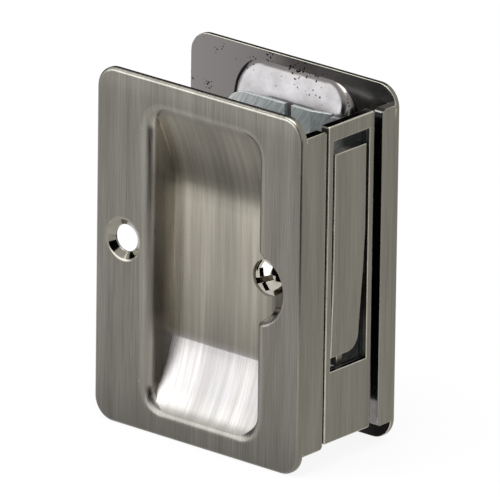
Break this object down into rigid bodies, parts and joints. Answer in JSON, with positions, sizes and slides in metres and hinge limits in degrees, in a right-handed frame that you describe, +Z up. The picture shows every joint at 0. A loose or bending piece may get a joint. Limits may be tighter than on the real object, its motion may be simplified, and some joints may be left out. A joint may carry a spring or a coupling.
{
  "type": "pocket door lock",
  "caption": "Adjustable pocket door lock with two scooped pull plates in brushed antique nickel and a sprung edge pull.",
  "frame": {"origin": "below the middle of the whole, on the surface that the two plates stand on", "axes": "+X out of the door's edge, -Y to the front pull's face, +Z up"},
  "size_m": [0.0572, 0.0322, 0.08],
  "materials": {
    "antique_nickel": "brushed antique nickel plate, lacquered",
    "zinc_plated_steel": "zinc plate, slightly blue",
    "bright_steel": "turned, bright",
    "nickel_screw": "nickel plate, bright",
    "spring_steel": "drawn wire, oiled"
  },
  "bodies": {
    "case": {"case_channel": "zinc_plated_steel", "faceplate": "antique_nickel", "pivot_pin": "bright_steel", "stop_pin": "bright_steel", "spring_bushing": "bright_steel", "front_washer": "bright_steel", "rear_washer": "bright_steel", "return_spring": "spring_steel", "screw_post": "bright_steel", "upper_spacer": "bright_steel", "lower_spacer": "bright_steel"},
    "front": {"front_pull": "antique_nickel"},
    "rear": {"rear_pull": "antique_nickel"},
    "front_clamp": {"front_screw": "nickel_screw"},
    "rear_clamp": {"rear_screw": "nickel_screw"},
    "lever": {"edge_pull": "antique_nickel"}
  },
  "joints": [
    {"name": "edge_pull_swing", "type": "hinge", "parent": "case", "child": "lever", "pos_m": [0.02142, 0.00005, 0.034], "axis": [0, 1, 0], "range_deg": [0, 40], "stiffness_Nm_per_rad": 0.05, "springref_deg": -34.38, "deforming": ["return_spring"]},
    {"name": "front_adjust", "type": "slide", "parent": "case", "child": "front", "axis": [0, -1, 0], "range_m": [0, 0.0042]},
    {"name": "rear_adjust", "type": "slide", "parent": "case", "child": "rear", "axis": [0, 1, 0], "range_m": [0, 0.0042]},
    {"name": "front_screw_turn", "type": "hinge", "parent": "front", "child": "front_clamp", "pos_m": [0.01452, 0, 0.0404], "axis": [0, -1, 0], "range_deg": [0, 2165]},
    {"name": "rear_screw_turn", "type": "hinge", "parent": "rear", "child": "rear_clamp", "pos_m": [0.01452, 0, 0.0404], "axis": [0, 1, 0], "range_deg": [0, 2165]}
  ],
  "couplings": [
    {"joint": "front_screw_turn", "follows": "front_adjust", "rad_per_m": 8976},
    {"joint": "rear_screw_turn", "follows": "rear_adjust", "rad_per_m": 8976}
  ]
}
